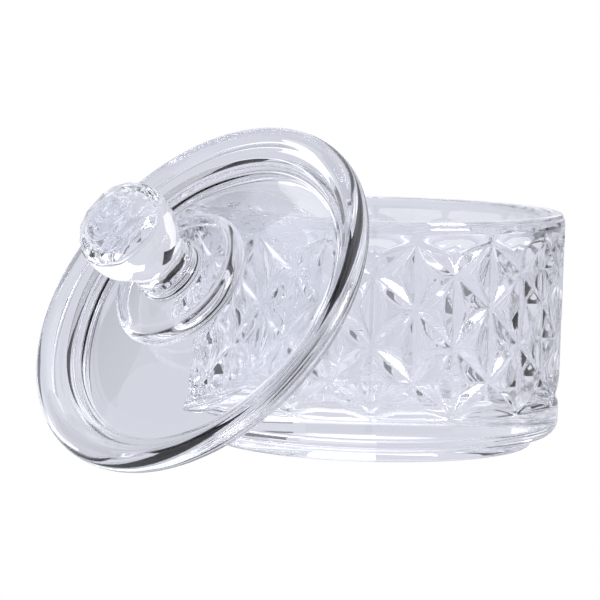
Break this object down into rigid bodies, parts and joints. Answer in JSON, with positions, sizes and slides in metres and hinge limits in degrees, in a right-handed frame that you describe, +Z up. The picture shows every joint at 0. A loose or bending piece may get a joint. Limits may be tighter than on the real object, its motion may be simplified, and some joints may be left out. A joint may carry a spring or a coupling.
{
  "type": "dappen dish with lid",
  "caption": "Small round pressed-glass dish with a faceted knob lid, the lid leaning against the dish with its lower edge on the table.",
  "frame": {"origin": "centre of the underside of the dish's foot, on the table", "axes": "+Z up along the dish's axis, -Y towards the lid that leans on the dish, +X to the side"},
  "size_m": [0.062, 0.0924, 0.0514],
  "materials": {
    "dish_glass": "clear pressed glass with a fire-polished star relief on the wall",
    "lid_glass": "clear pressed glass, smooth and slightly wavy",
    "clear_bond": "cured clear adhesive, glossy with an uneven edge",
    "knob_glass": "clear cut glass with small polished facets"
  },
  "bodies": {
    "dish_body": {"dish": "dish_glass"},
    "lid_body": {"lid": "lid_glass", "knob_bond": "clear_bond", "knob": "knob_glass"}
  },
  "joints": [
    {"name": "lid_lift", "type": "slide", "parent": "dish_body", "child": "lid_body", "axis": [0, -0.8192, 0.5736], "range_m": [0, 0.06]}
  ]
}
